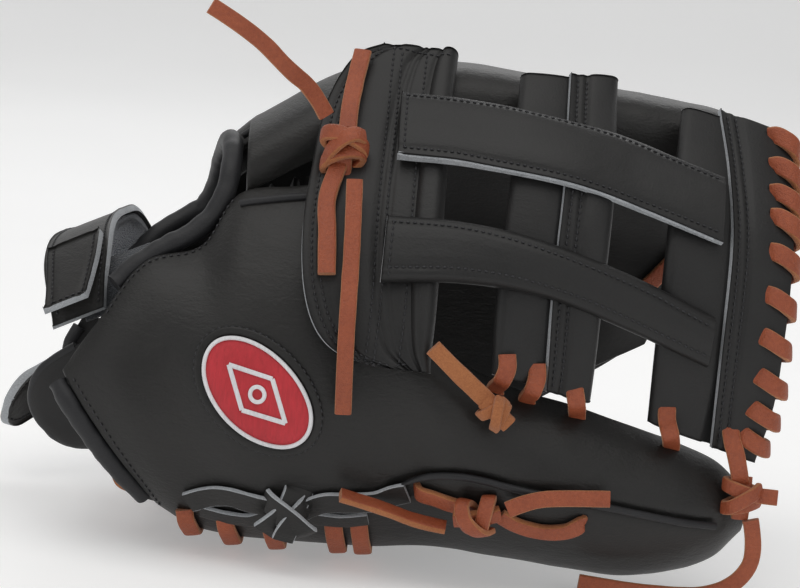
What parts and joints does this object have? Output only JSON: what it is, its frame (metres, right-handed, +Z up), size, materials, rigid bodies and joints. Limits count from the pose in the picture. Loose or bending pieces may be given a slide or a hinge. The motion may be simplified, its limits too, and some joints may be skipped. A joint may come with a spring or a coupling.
{
  "type": "baseball fielder's glove",
  "caption": "Outfielder's glove for the left hand: leather shell, two-bar H web, laced edges, open back and pull strap; the thumb half folds and the wrist strap lifts.",
  "frame": {"origin": "centre of the footprint, on the surface the glove stands on; free lace tails left out", "axes": "+X towards the fingertips, +Z up through the back of the hand, -Y towards the thumb side and web"},
  "size_m": [0.3304, 0.2064, 0.2287],
  "materials": {
    "leather": "satin black leather",
    "lace": "matte tan rawhide",
    "lining": "soft matte",
    "felt": "felt",
    "fleece": "fleece",
    "patch": "embroidery"
  },
  "bodies": {
    "hand": {"thumb_base_back": "leather", "index_back": "leather", "index_lining": "lining", "middle_back": "leather", "middle_lining": "lining", "ring_back": "leather", "ring_lining": "lining", "little_back": "leather", "little_lining": "lining", "finger_welts": "leather", "palm_heel_leather": "leather", "heel_pad": "felt", "palm_pad": "felt", "palm_lining": "lining", "palm_finger_leather": "leather", "wrist_binding_thumb_side": "leather", "wrist_binding_little_side": "leather", "wrist_binding_heel": "leather", "back_opening_binding": "leather", "cuff_lining": "leather", "strap_keeper": "felt", "strap_anchor": "leather", "strap_end_tab": "leather", "patch_ring": "leather", "oval_patch": "patch", "fingertip_lacing": "lace", "heel_lacing": "lace", "little_side_lacing": "lace", "thumb_loop_thong": "leather", "thumb_loop_knot": "leather"},
    "thumb_half": {"thumb_back": "leather", "thumb_side_panel": "leather", "thumb_palm": "leather", "thumb_pad": "felt", "thumb_lining": "lining", "thumb_welt": "leather", "thumb_edge_lacing": "lace", "web_crotch_plate": "leather", "web_middle_post": "leather", "web_middle_flap": "leather", "web_tip_post": "leather", "web_tip_cover": "leather", "web_upper_bar": "leather", "web_lower_bar": "leather", "web_tip_lacing": "lace", "web_thumb_lacing": "lace", "crotch_knot": "lace", "web_foot_knot": "lace", "thumb_knot": "lace", "tip_knot": "lace", "crotch_tail_up": "lace", "crotch_tail_down": "lace", "thumb_tail_right": "lace", "thumb_tail_left": "lace", "tip_tail": "lace", "thumb_loop_thong_end": "leather"},
    "strap": {"wrist_strap": "leather", "strap_fleece": "fleece", "strap_hook_patch": "felt", "pull_tab": "leather"}
  },
  "joints": [
    {"name": "thumb_close", "type": "hinge", "parent": "hand", "child": "thumb_half", "pos_m": [-0.00114, -0.02322, 0.16973], "axis": [0.9963, 0, 0.0854], "range_deg": [-3, 20]},
    {"name": "strap_lift", "type": "hinge", "parent": "hand", "child": "strap", "pos_m": [-0.10535, 0.09178, 0.06244], "axis": [-0.8942, 0, -0.4477], "range_deg": [0, 55]}
  ]
}
